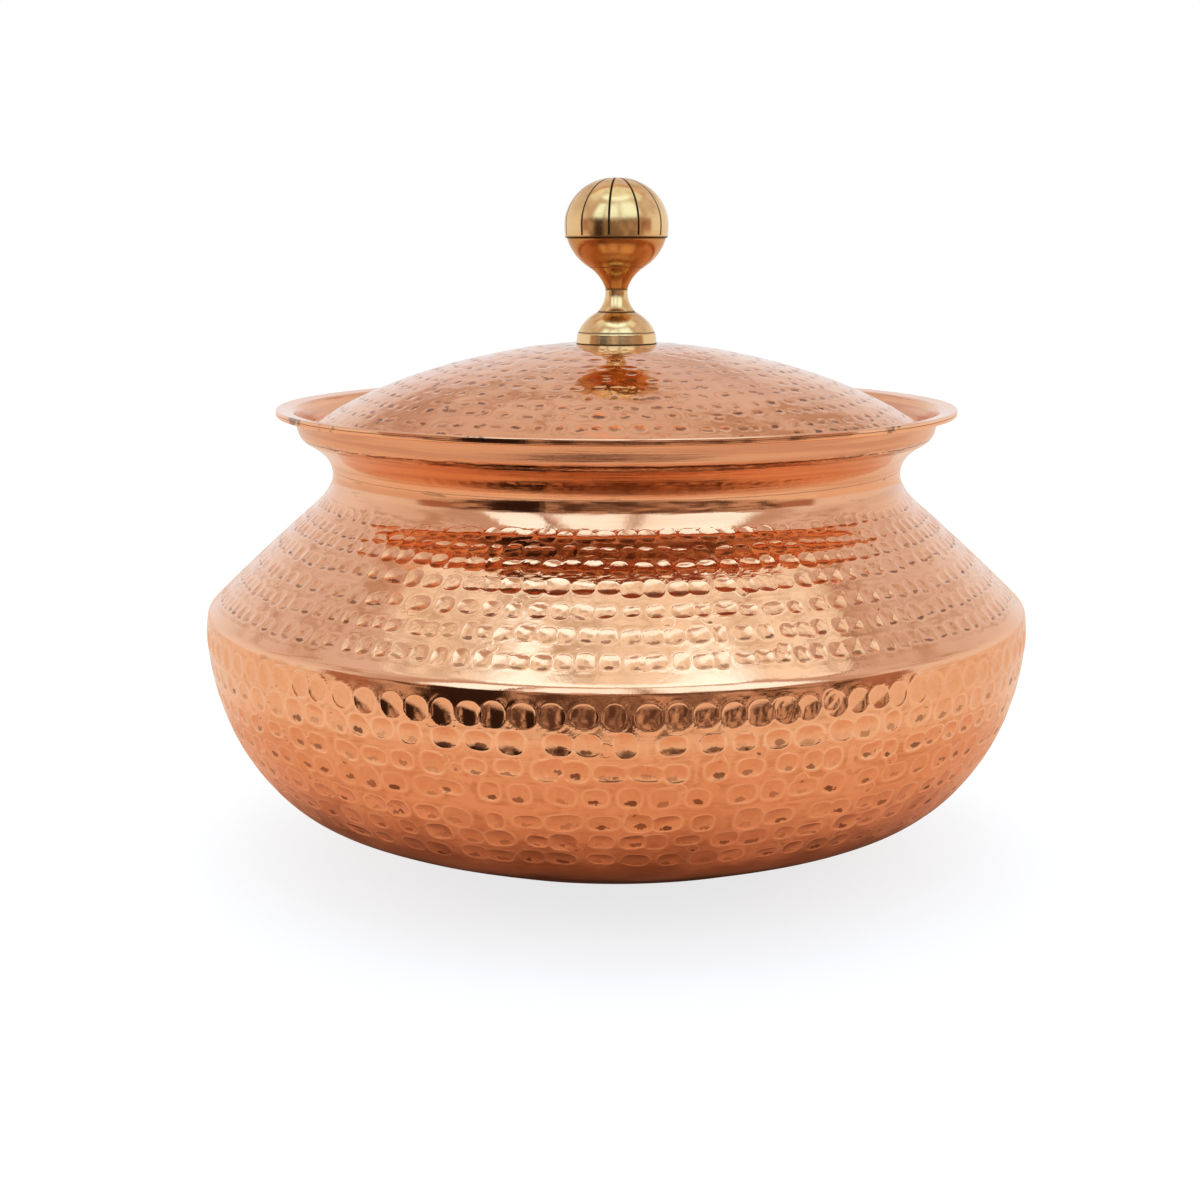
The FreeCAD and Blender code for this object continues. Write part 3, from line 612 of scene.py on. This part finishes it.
# ---------------------------------------------------------------- the vessel
outer_points = [
    (0.0, 0.0), (112.07, 0.0), (190.0, 11.65), (374.08, 77.34), (402.4, 93.93),
    (426.6, 118.32), (463.5, 179.92), (483.8, 261.25), (485.0, 279.54),
    (483.7, 303.63), (479.9, 311.36), (357.3, 423.89), (337.9, 449.3),
    (335.9, 469.63), (347.2, 488.95), (364.4, 501.14), (373.7, 513.34),
    (377.2, 526.05), (379.0, 531.03), (382.8, 534.08)]
outer_edges = [
    None, (266.55, 1), (2122.99, 1), (116.61, 1), (164.3, 1), (240.51, 1),
    (307.28, 1), (157.12, 1), (216.26, 1), (12.79, 1), (2505.51, 1),
    (76.25, -1), (30.0, -1), (39.91, -1), (92.68, -1), (19.7, 1),
    (139.22, -1), None, (4.68, -1)]
outside = chain(outer_points, outer_edges)
inside = shifted(outside, 3.0)[::-1]
inside[-1, 0] = 0.0
rim = chain([tuple(outside[-1]), (391.0, 534.58), (391.2, 532.55), (393.0, 530.75),
             (396.2, 530.75), (398.0, 532.55), (398.0, 536.95), (396.2, 538.75),
             tuple(inside[0])],
            [None, None, (1.8, 1), None, (1.8, 1), None, (1.8, 1), None])
pot_line = np.vstack([outside, rim[1:], inside[1:]])
pot = Profile(pot_line, 1, 2.0, 0.45,
              lambda r, z, s: (z > 474) & (r > 338))
top_s = pot.find(r=398.0)
mark = lambda z: pot.find(z=z, lo=150.0, hi=top_s - 12.0)

relief = Relief(pot, 11)
# lower bowl, seven rounds of marks under the ridge
relief.row(mark(282.7), 105, 12.7, 12.4, 1.30, power=2.15, soft=0.11, lip=0.20, wander=0.9, jitter=0.05, double=0.05, vary=0.05, deep_vary=0.14)
relief.row(mark(254.3), 88, 13.2, 11.0, 1.20, power=2.5, soft=0.15, lip=0.10, wander=1.2, vary=0.08, jitter=0.07)
relief.row(mark(225.0), 87, 13.0, 10.0, 1.15, power=2.7, soft=0.14, wander=1.5, vary=0.11, jitter=0.08)
relief.row(mark(196.8), 86, 13.2, 10.0, 1.15, power=2.8, soft=0.14, wander=1.6, vary=0.13, jitter=0.09, double=0.06)
relief.row(mark(166.8), 84, 13.2, 10.3, 1.10, power=2.8, soft=0.14, wander=1.7, vary=0.14, jitter=0.10, double=0.06)
relief.row(mark(142.3), 81, 13.0, 9.8, 1.05, power=2.8, soft=0.14, wander=1.7, vary=0.14, jitter=0.10, double=0.05)
relief.row(mark(119.1), 78, 12.6, 9.6, 0.95, power=2.6, soft=0.18, wander=1.8, vary=0.15, jitter=0.11, double=0.04)
# shoulder, seven rounds up to the neck
relief.row(mark(329.7), 132, 9.9, 9.4, 0.84, power=2.8, soft=0.15, lip=0.08, wander=1.2, vary=0.09, jitter=0.06)
relief.row(mark(350.3), 128, 9.4, 9.0, 0.80, power=2.6, soft=0.17, lip=0.08, wander=1.4, vary=0.10, jitter=0.08)
relief.row(mark(370.1), 106, 10.0, 8.6, 0.92, power=2.4, soft=0.18, lip=0.08, wander=1.5, vary=0.11, jitter=0.08)
relief.row(mark(390.7), 110, 11.2, 9.2, 0.98, power=2.4, soft=0.15, lip=0.08, wander=1.3, vary=0.10, jitter=0.07)
relief.row(mark(407.3), 112, 10.6, 8.6, 0.95, power=2.4, soft=0.15, lip=0.08, wander=1.3, vary=0.11, jitter=0.07)
relief.row(mark(419.1), 112, 9.8, 7.6, 0.80, power=2.4, soft=0.16, lip=0.08, wander=1.4, vary=0.12, jitter=0.08)
relief.row(mark(433.9), 108, 9.2, 6.8, 0.60, power=2.4, soft=0.18, lip=0.08, wander=1.6, vary=0.14, jitter=0.10)
# uneven metal between the marks, longer dents on the smooth bands
relief.ripple(mark(322), mark(440), 16, 60, 34, 0.085)
relief.ripple(mark(100), mark(296), 18, 70, 34, 0.075)
relief.ripple(mark(293), mark(322), 40, 160, 22, 0.12, fade=5.0, along=1.8)
relief.ripple(mark(446), mark(528), 60, 220, 22, 0.10, fade=8.0, along=3.0)
relief.ripple(60.0, mark(100), 60, 200, 20, 0.30, fade=12.0)
relief.scatter(mark(326), mark(436), 420, 4.5, 0.10)
relief.scatter(mark(112), mark(292), 520, 5.0, 0.10)

s_high, s_low = mark(320), mark(268)


def pot_mark_shading(s0, a, rng):
    if s0 > s_high:      # shoulder: painted shade, a small dark spot low in most marks, and a faint painted rim highlight
        return float(np.clip(rng.normal(0.66, 0.24), 0, 1)), rng.normal(-0.70, 0.08), 0.12
    if s0 > s_low:       # the round marks under the ridge get no painted shade spot, only a faint painted rim highlight
        return 0.0, 0.0, 0.15
    # lower bowl: painted shade spots low in most marks and strong painted rim highlights
    return float(np.clip(rng.normal(0.60, 0.28), 0, 1)), rng.normal(-0.56, 0.12), 0.72


relief.dirt_and_shade = pot_mark_shading
relief.spot = lambda s0: (0.64, 0.24) if s0 > s_high else (0.50, 0.30)
s_under, s_mid, s_brow, s_neck = mark(100), mark(211), mark(318.5), mark(441.5)
s_lip = pot.find(r=384.0, lo=top_s)          # just inside the flange
sheet("pot_underside", pot, np.r_[rows(3.0, 110.0, 8.0)[:-1], rows(110.0, s_under, 6.0)], 300, relief,
      "pot_body", hammered, pole_start=True)
sheet("pot_bowl_lower", pot, rows(s_under, s_mid, 2.60), 1160, relief, "pot_body", hammered, soil_and_shade=relief.paint)
sheet("pot_bowl_upper", pot, rows(s_mid, s_brow, 2.35), 1280, relief, "pot_body", hammered, soil_and_shade=relief.paint)
sheet("pot_shoulder", pot, rows(s_brow, s_neck, 2.3), 1000, relief, "pot_body", hammered, soil_and_shade=relief.paint)
s_cup, s_flange = mark(488.0), mark(526.0)
sheet("pot_neck", pot, bends(pot, s_neck, s_lip, 3.2, 0.45, 0.13), 440, relief, "pot_body", neck_copper)
sheet("pot_inside", pot, rows(s_lip, pot.end - 2.0, 12.0), 180, None, "pot_body", copper, pole_end=True)

# -------------------------------------------------------------------- the lid
lid_outside = chain(
    [(8.4, 609.71), (50.0, 609.71), (150.0, 596.29), (250.0, 569.15),
     (355.4, 520.97), (358.5, 515.72), (358.5, 501.17)],
    [None, (564.11, -1), (751.18, -1), (730.57, -1), (5.98, -1), None])
lid_inside = shifted(lid_outside, -2.5)[::-1]
lid_inside[0] = (356.0, 501.17)
lid_line = np.vstack([lid_outside, lid_inside])
lid = Profile(lid_line, -1, 2.0, 0.5, lambda r, z, s: (r > 352) | (r < 12))
lid_edge = lid.find(z=501.17)
on_lid = lambda r: lid.find(r=r, lo=0.0, hi=lid.find(r=356.0, hi=lid_edge))

dents = Relief(lid, 23)
for radius, wide, tall in ((338.0, 8.5, 6.0), (320.8, 8.8, 6.8), (296.4, 9.0, 7.0), (278.4, 8.8, 6.6), (256.2, 8.8, 6.8),
                           (234.3, 8.6, 6.8), (211.8, 8.6, 6.8), (191.0, 8.4, 6.6), (168.6, 8.4, 6.8),
                           (141.4, 8.4, 7.2), (116.8, 8.2, 7.2), (89.1, 8.0, 7.2), (64.0, 7.4, 6.4)):
    wide, tall = wide * 0.80, tall * 0.86
    count = int(round(TAU * radius / 22.5))
    weak = 0.45 if radius > 330 else 1.0
    dents.row(on_lid(radius), count, wide, tall, 0.44 * weak, power=2.2, soft=0.24, lip=0.06,
              wander=1.8, jitter=0.12, vary=0.16, deep_vary=0.30, turn=0.2, double=0.05)
# lid dents: a painted shade spot in the middle of most dents, weaker towards the centre, and a faint painted rim
# highlight
dents.dirt_and_shade = lambda s0, a, rng: (float(np.clip(rng.normal(0.66, 0.25), 0, 1)) * min(1.0, s0 / 170.0), rng.normal(0.0, 0.2), 0.06)
dents.spot = lambda s0: (0.84, 0.46)
dents.ripple(on_lid(60), on_lid(350), 14, 60, 40, 0.20)
dents.ripple(on_lid(60), on_lid(350), 60, 240, 16, 0.22)
dents.scatter(on_lid(70), on_lid(345), 420, 5.0, 0.10)
s_ring = on_lid(186.0)
s_turn = lid.find(z=517.0, lo=s_ring, hi=lid_edge)
sheet("lid_outer", lid, np.r_[rows(s_ring, s_turn, 2.4)[:-1], rows(s_turn, lid_edge, 1.6)], 800, dents, "lid", lid_copper, soil_and_shade=dents.paint)
sheet("lid_crown", lid, np.r_[rows(0.0, 30.0, 6.0)[:-1], rows(30.0, s_ring, 2.6)], 440, dents, "lid", lid_copper, soil_and_shade=dents.paint)
sheet("lid_under", lid, rows(lid_edge, lid.end, 10.0), 180, None, "lid", lid_copper)


# ------------------------------------------------------------------- the knob
def turned(points, edges, soft=0.3):
    return Profile(chain(points, edges, 0.2), 1, soft, soft, lambda r, z, s: s < -1)


foot = turned([(8.0, 609.76), (47.1, 609.76), (47.6, 610.3), (46.1, 621.4), (45.3, 622.4), (44.6, 623.0), (44.7, 623.9),
               (22.4, 646.35), (8.0, 646.35)],
              [None, None, None, None, None, None, (46.38, 1), None], 0.35)
spool = turned([(8.0, 646.42), (21.4, 646.42), (21.9, 646.8), (21.9, 647.3), (21.3, 647.9), (13.2, 665.82), (13.2, 672.5), (8.0, 672.5)],
               [None, None, None, None, (33.89, -1), (29.18, -1), None], 0.25)
bulb = turned([(8.0, 672.56), (12.6, 672.56), (12.9, 672.9), (32.6, 698.04), (57.6, 730.6), (57.5, 731.2), (56.6, 731.45), (49.0, 731.45), (49.0, 735.9)],
              [None, None, (46.48, -1), (59.08, 1), None, None, None, None], 0.25)
cap = turned([(49.4, 731.52), (58.9, 731.52), (59.6, 732.0), (59.8, 732.9), (60.7, 747.14), (55.96, 767.59), (4.0, 800.0), (0.6, 800.0)],
             [None, None, None, (93.55, 1), (46.5, 1), (57.86, 1), None], 0.25)


class Ring:
    """Fine turned line on the bulb."""

    def __init__(self, s0, half, deep):
        self.s0, self.half, self.deep = s0, half, deep

    def __call__(self, s, theta):
        q = (s - self.s0) / self.half
        d = -self.deep * np.exp(-q * q)
        g = -2.0 * q / self.half * d
        one = np.ones((1, len(theta)))
        return d[:, None] * one, g[:, None] * one, np.zeros((len(s), len(theta)))


FLUTES = 11


class Flutes:
    """Grooves of even width that run up the cap."""

    def _place(self, s, theta):
        r, z = cap.at(s)[:2]
        step = TAU / FLUTES
        off = (theta + step / 2) % step - step / 2
        x = np.maximum(r, 1.0)[:, None] * off[None, :]
        on = np.clip((z - 734.0) / 1.2, 0, 1) * np.clip((r - 7.0) / 2.5, 0, 1)
        return x, on[:, None]

    def __call__(self, s, theta):
        x, on = self._place(s, theta)
        half, deep = 1.25, 1.5
        q = np.clip(1.0 - (x / half) ** 2, 0, None)
        d = -deep * on * q ** 1.5
        g = -deep * on * 1.5 * q ** 0.5 * (-2.0 * x / half ** 2)
        r = np.maximum(cap.at(s)[0], 1.0)[:, None]
        return d, np.zeros_like(d), g * r

    def soil_and_shade(self, s, theta, rr, zz):
        x, on = self._place(s, theta)
        line = on * np.clip(1.9 - 1.15 * np.abs(x), 0, 1)
        foot_line = np.clip(1.3 * np.exp(-((s - cap.find(z=732.2)) / 1.1) ** 2), 0, 1)[:, None]
        return np.maximum(line, foot_line)


flutes = Flutes()
sector = TAU / FLUTES
near = np.radians(np.r_[np.arange(-2.4, 2.41, 0.4)])
far = np.linspace(math.radians(3.1), sector - math.radians(3.1), 24)
cap_theta = (np.arange(FLUTES)[:, None] * sector + np.r_[near, far][None, :]).ravel() % TAU
cap_theta = np.sort(cap_theta)
s_wall = cap.find(z=735.5)
sheet("ball_cap", cap, np.r_[rows(0.0, 9.0, 3.0)[:-1], rows(9.0, s_wall, 0.5)[:-1], rows(s_wall, cap.end, 1.55)], cap_theta, flutes,
      "knob_cap", brass, pole_end=True, soil_and_shade=flutes.soil_and_shade)
ring_s = bulb.find(z=698.04)
sheet("ball_bulb", bulb, np.r_[rows(0.0, 5.5, 0.6)[:-1], rows(5.5, ring_s - 2, 1.2)[:-1], rows(ring_s - 2, ring_s + 2, 0.3)[:-1],
                               rows(ring_s + 2, bulb.end - 16, 1.2)[:-1], rows(bulb.end - 16, bulb.end, 0.6)], 176,
      Ring(ring_s, 0.75, 0.55), "knob_bulb", bulb_brass_with_painted_reflection,
      soil_and_shade=lambda s, th, rr, zz: (0.75 * np.exp(-((s - ring_s) / 0.8) ** 2) + 0.8 * np.exp(-((s - bulb.find(z=731.3)) / 0.9) ** 2)
                                  + 0.5 * np.exp(-((s - 5.2) / 0.9) ** 2))[:, None] * np.ones((1, len(th))))
sheet("stem_spool", spool, rows(0.0, spool.end, 0.8), 128, None, "knob_spool", brass,
      soil_and_shade=lambda s, th, rr, zz: (0.8 * np.exp(-((s - 14.0) / 1.2) ** 2) + 0.6 * np.exp(-((s - spool.find(z=672.2)) / 0.8) ** 2))[:, None] * np.ones((1, len(th))))
band_s = foot.find(z=622.9)
sheet("stem_foot", foot, np.r_[rows(0.0, 38.0, 4.0)[:-1], rows(38.0, 60.0, 0.4)[:-1], rows(60.0, foot.end, 1.0)], 176, None,
      "knob_foot", brass,
      soil_and_shade=lambda s, th, rr, zz: (0.85 * np.exp(-((s - band_s) / 0.9) ** 2) + 0.9 * np.exp(-((s - 39.3) / 1.0) ** 2)
                                  + 0.7 * np.exp(-((s - foot.find(r=22.9, lo=60.0)) / 1.2) ** 2))[:, None] * np.ones((1, len(th))))

# the stud, washer and nut keep their own solids
for name in ("knob_stud", "clamp_washer", "clamp_nut"):
    ob = nodes[name]
    for slot in ob.material_slots:
        slot.material = brass
    if not ob.material_slots:
        ob.data.materials.append(brass)

# ---------------------------------------------------------------- the studio
def card(name, corners, material):
    me = bpy.data.meshes.new(name)
    me.from_pydata(corners, [], [(0, 1, 2, 3)])
    me.materials.append(material)
    ob = bpy.data.objects.new(name, me)
    bpy.context.scene.collection.objects.link(ob)
    return ob


# Pale paper under the pot.
paper_mat = bpy.data.materials.new("pale_floor")
paper_mat.use_nodes = True
ft = Tree(paper_mat.node_tree)
where = ft.node("ShaderNodeTexCoord").outputs["Object"]
mottle = ft.noise(where, 3.0, 3.0, 0.5)
paper = ft.node("ShaderNodeBsdfPrincipled")
ft.link(ft.mix(mottle.ramp(0.3, 0.7), (0.265, 0.285, 0.292), (0.255, 0.272, 0.280)), paper.inputs["Base Color"])
paper.inputs["Roughness"].default_value = 0.9
paper.inputs["Specular IOR Level"].default_value = 0.1
paper.inputs["Emission Color"].default_value = (1.0, 1.0, 1.0, 1.0)
paper.inputs["Emission Strength"].default_value = 0.775
ft.link(paper.outputs["BSDF"], ft.node("ShaderNodeOutputMaterial").inputs["Surface"])
floor = card("floor", [(-9, -4, 0), (9, -4, 0), (9, 9, 0), (-9, 9, 0)], paper_mat)
floor.visible_glossy = False

# The same floor as the copper mirrors it: warm with light thrown back by the
# bowl, dark under it, and ending in front.
warm_mat = bpy.data.materials.new("mirrored_floor")
warm_mat.use_nodes = True
wt = Tree(warm_mat.node_tree)
wx, wy, wz = wt.split(wt.node("ShaderNodeTexCoord").outputs["Object"])
reach = (wx * wx + wy * wy).power(0.5)
ramp = wt.node("ShaderNodeValToRGB")
stops = [(0.26, (0.05, 0.020, 0.012)), (0.38, (0.22, 0.090, 0.052)), (0.46, (0.52, 0.25, 0.16)), (0.55, (0.76, 0.44, 0.30)),
         (0.66, (0.80, 0.48, 0.33)), (0.78, (0.84, 0.57, 0.42)), (0.90, (0.92, 0.72, 0.58)), (1.0, (0.90, 0.74, 0.62))]
while len(ramp.color_ramp.elements) < len(stops):
    ramp.color_ramp.elements.new(0.5)
for element, (at, colour) in zip(ramp.color_ramp.elements, stops):
    element.position = at
    element.color = (*colour, 1.0)
ripples = wt.noise(wt.xyz(wx, wy, 0.0), 7.0, 4.0, 0.6)
wt.link(reach + (ripples - 0.5) * 0.22, ramp.inputs["Fac"])
fall = wy.ramp(-1.08, -0.95, 0.42, 1.0)
glow_card = wt.node("ShaderNodeEmission")
wt.link(ramp.outputs["Color"], glow_card.inputs["Color"])
wt.link(fall, glow_card.inputs["Strength"])
wt.link(glow_card.outputs[0], wt.node("ShaderNodeOutputMaterial").inputs["Surface"])
mirrored = card("mirrored_floor", [(-6, -1.10, -0.0004), (6, -1.10, -0.0004), (6, 8, -0.0004), (-6, 8, -0.0004)], warm_mat)
mirrored.visible_camera = False
mirrored.visible_diffuse = False
mirrored.visible_shadow = False

# A white tent: bright strip overhead, two soft boxes in front, a dark opening
# low in front.
world = bpy.data.worlds.new("tent")
bpy.context.scene.world = world
world.use_nodes = True
w = Tree(world.node_tree)
way = w.node("ShaderNodeTexCoord").outputs["Generated"]
dx, dy, dz = w.split(way)
elev = dz._op("ARCSINE") * (180.0 / math.pi)
azim = dx._op("ARCTAN2", dy * -1.0) * (180.0 / math.pi)
up = dz.maxi(0.02)
across = (dx / up).abs()
along = dy / up
azim_off = azim.abs()
drape = w.noise(way, 4.2, 3.0, 0.6, 0.8)
tent = w.mix(elev.ramp(6.0, 34.0), (0.90, 0.89, 0.91), (0.77, 0.72, 0.75))
tent = w.mix(drape.ramp(0.46, 0.64) * elev.ramp(12.0, 30.0), tent, (0.56, 0.42, 0.35))
side = dx / up
panel = side.band(-0.76, 0.775, 0.03) * along.ramp(0.36, 0.32) * elev.ramp(30.0, 40.0)
folds = w.noise(way, 9.0, 3.0, 0.6, 0.6)
tent = w.mix(panel, tent, w.mix(folds.ramp(0.44, 0.62), (1.08, 1.22, 1.30), (0.74, 0.76, 0.76)))
edge = side.band(0.785, 0.805, 0.008) * along.ramp(0.50, 0.46) * elev.ramp(40.0, 48.0)
tent = w.mix(edge * 0.8, tent, (0.22, 0.13, 0.10))
gap = across.ramp(0.80, 0.72) * along.band(0.34, 0.53, 0.02) * elev.ramp(30.0, 40.0)
tent = w.mix(gap, tent, w.mix(drape.ramp(0.40, 0.60), (1.10, 0.66, 0.46), (0.56, 0.31, 0.21)))
front = azim_off.ramp(70.0, 62.0)
tent = w.mix(azim_off.ramp(80.0, 66.0) * elev.band(15.0, 66.0, 4.0), tent, (0.62, 0.50, 0.46))
tent = w.mix(azim_off.ramp(84.0, 60.0) * across.ramp(0.80, 0.60) * elev.band(65.0, 75.0, 1.5), tent, (1.30, 1.90, 2.45))
sag = (drape - 0.5) * 26.0
boxes = (azim.band(-54.0, -31.0, 2.0) + azim.band(-25.0, 5.0, 4.0) + azim.band(11.0, 58.0, 5.0)) * (elev + sag).band(18.0, 57.0, 2.0)
tent = w.mix(boxes.clamp(), tent, (1.22, 1.68, 2.15))
frames = (azim.band(-31.0, -29.0, 0.6) + azim.band(7.5, 9.0, 0.6)) * elev.band(16.0, 50.0, 3.0)
tent = w.mix(frames.clamp() * 0.8, tent, (0.20, 0.11, 0.08))
shapes = w.noise(way, 4.5, 3.0, 0.55, 0.8)
dim = w.mix(shapes.ramp(0.40, 0.62), (0.11, 0.062, 0.044), (0.64, 0.45, 0.35))
dim = w.mix(azim.band(-50.0, -28.0, 1.5), dim, (0.035, 0.018, 0.012))
tent = w.mix(azim_off.ramp(86.0, 80.0) * elev.band(-9.0, 13.0, 2.0), tent, (0.44, 0.23, 0.16))
tent = w.mix(front * elev.ramp(16.5, 14.0), tent, dim)
low = elev.ramp(-4.0, -10.0) * front.inv()
tent = w.mix(low, tent, (0.86, 0.72, 0.62))
glow = w.node("ShaderNodeBackground")
w.link(tent, glow.inputs["Color"])
plain = w.node("ShaderNodeBackground")
plain.inputs["Color"].default_value = (1.0, 1.0, 1.0, 1.0)
pick = w.node("ShaderNodeMixShader")
w.link(w.node("ShaderNodeLightPath").outputs["Is Camera Ray"], pick.inputs[0])
w.link(glow.outputs[0], pick.inputs[1])
w.link(plain.outputs[0], pick.inputs[2])
w.link(pick.outputs[0], w.node("ShaderNodeOutputWorld").inputs["Surface"])

# soft fill from above
lamp = bpy.data.lights.new("overhead", "AREA")
lamp.shape = "RECTANGLE"
lamp.size, lamp.size_y = 1.8, 2.4
lamp.energy = 18.0
lamp_ob = bpy.data.objects.new("overhead", lamp)
lamp_ob.location = (0.0, 0.2, 2.4)
lamp_ob.visible_glossy = False
bpy.context.scene.collection.objects.link(lamp_ob)

# ---------------------------------------------------------------- the camera
cam = bpy.data.cameras.new("camera")
cam.sensor_width = 36.0
cam.lens = 54.23
cam.shift_x = -0.01375
cam_ob = bpy.data.objects.new("camera", cam)
cam_ob.location = (0.0, -2.150, 0.7230)
cam_ob.rotation_euler = (math.pi / 2 - 0.1937, 0.0, 0.0)
bpy.context.scene.collection.objects.link(cam_ob)
bpy.context.scene.camera = cam_ob
bpy.context.scene.view_settings.view_transform = "Standard"
bpy.context.scene.view_settings.look = "None"

bpy.context.view_layer.update()
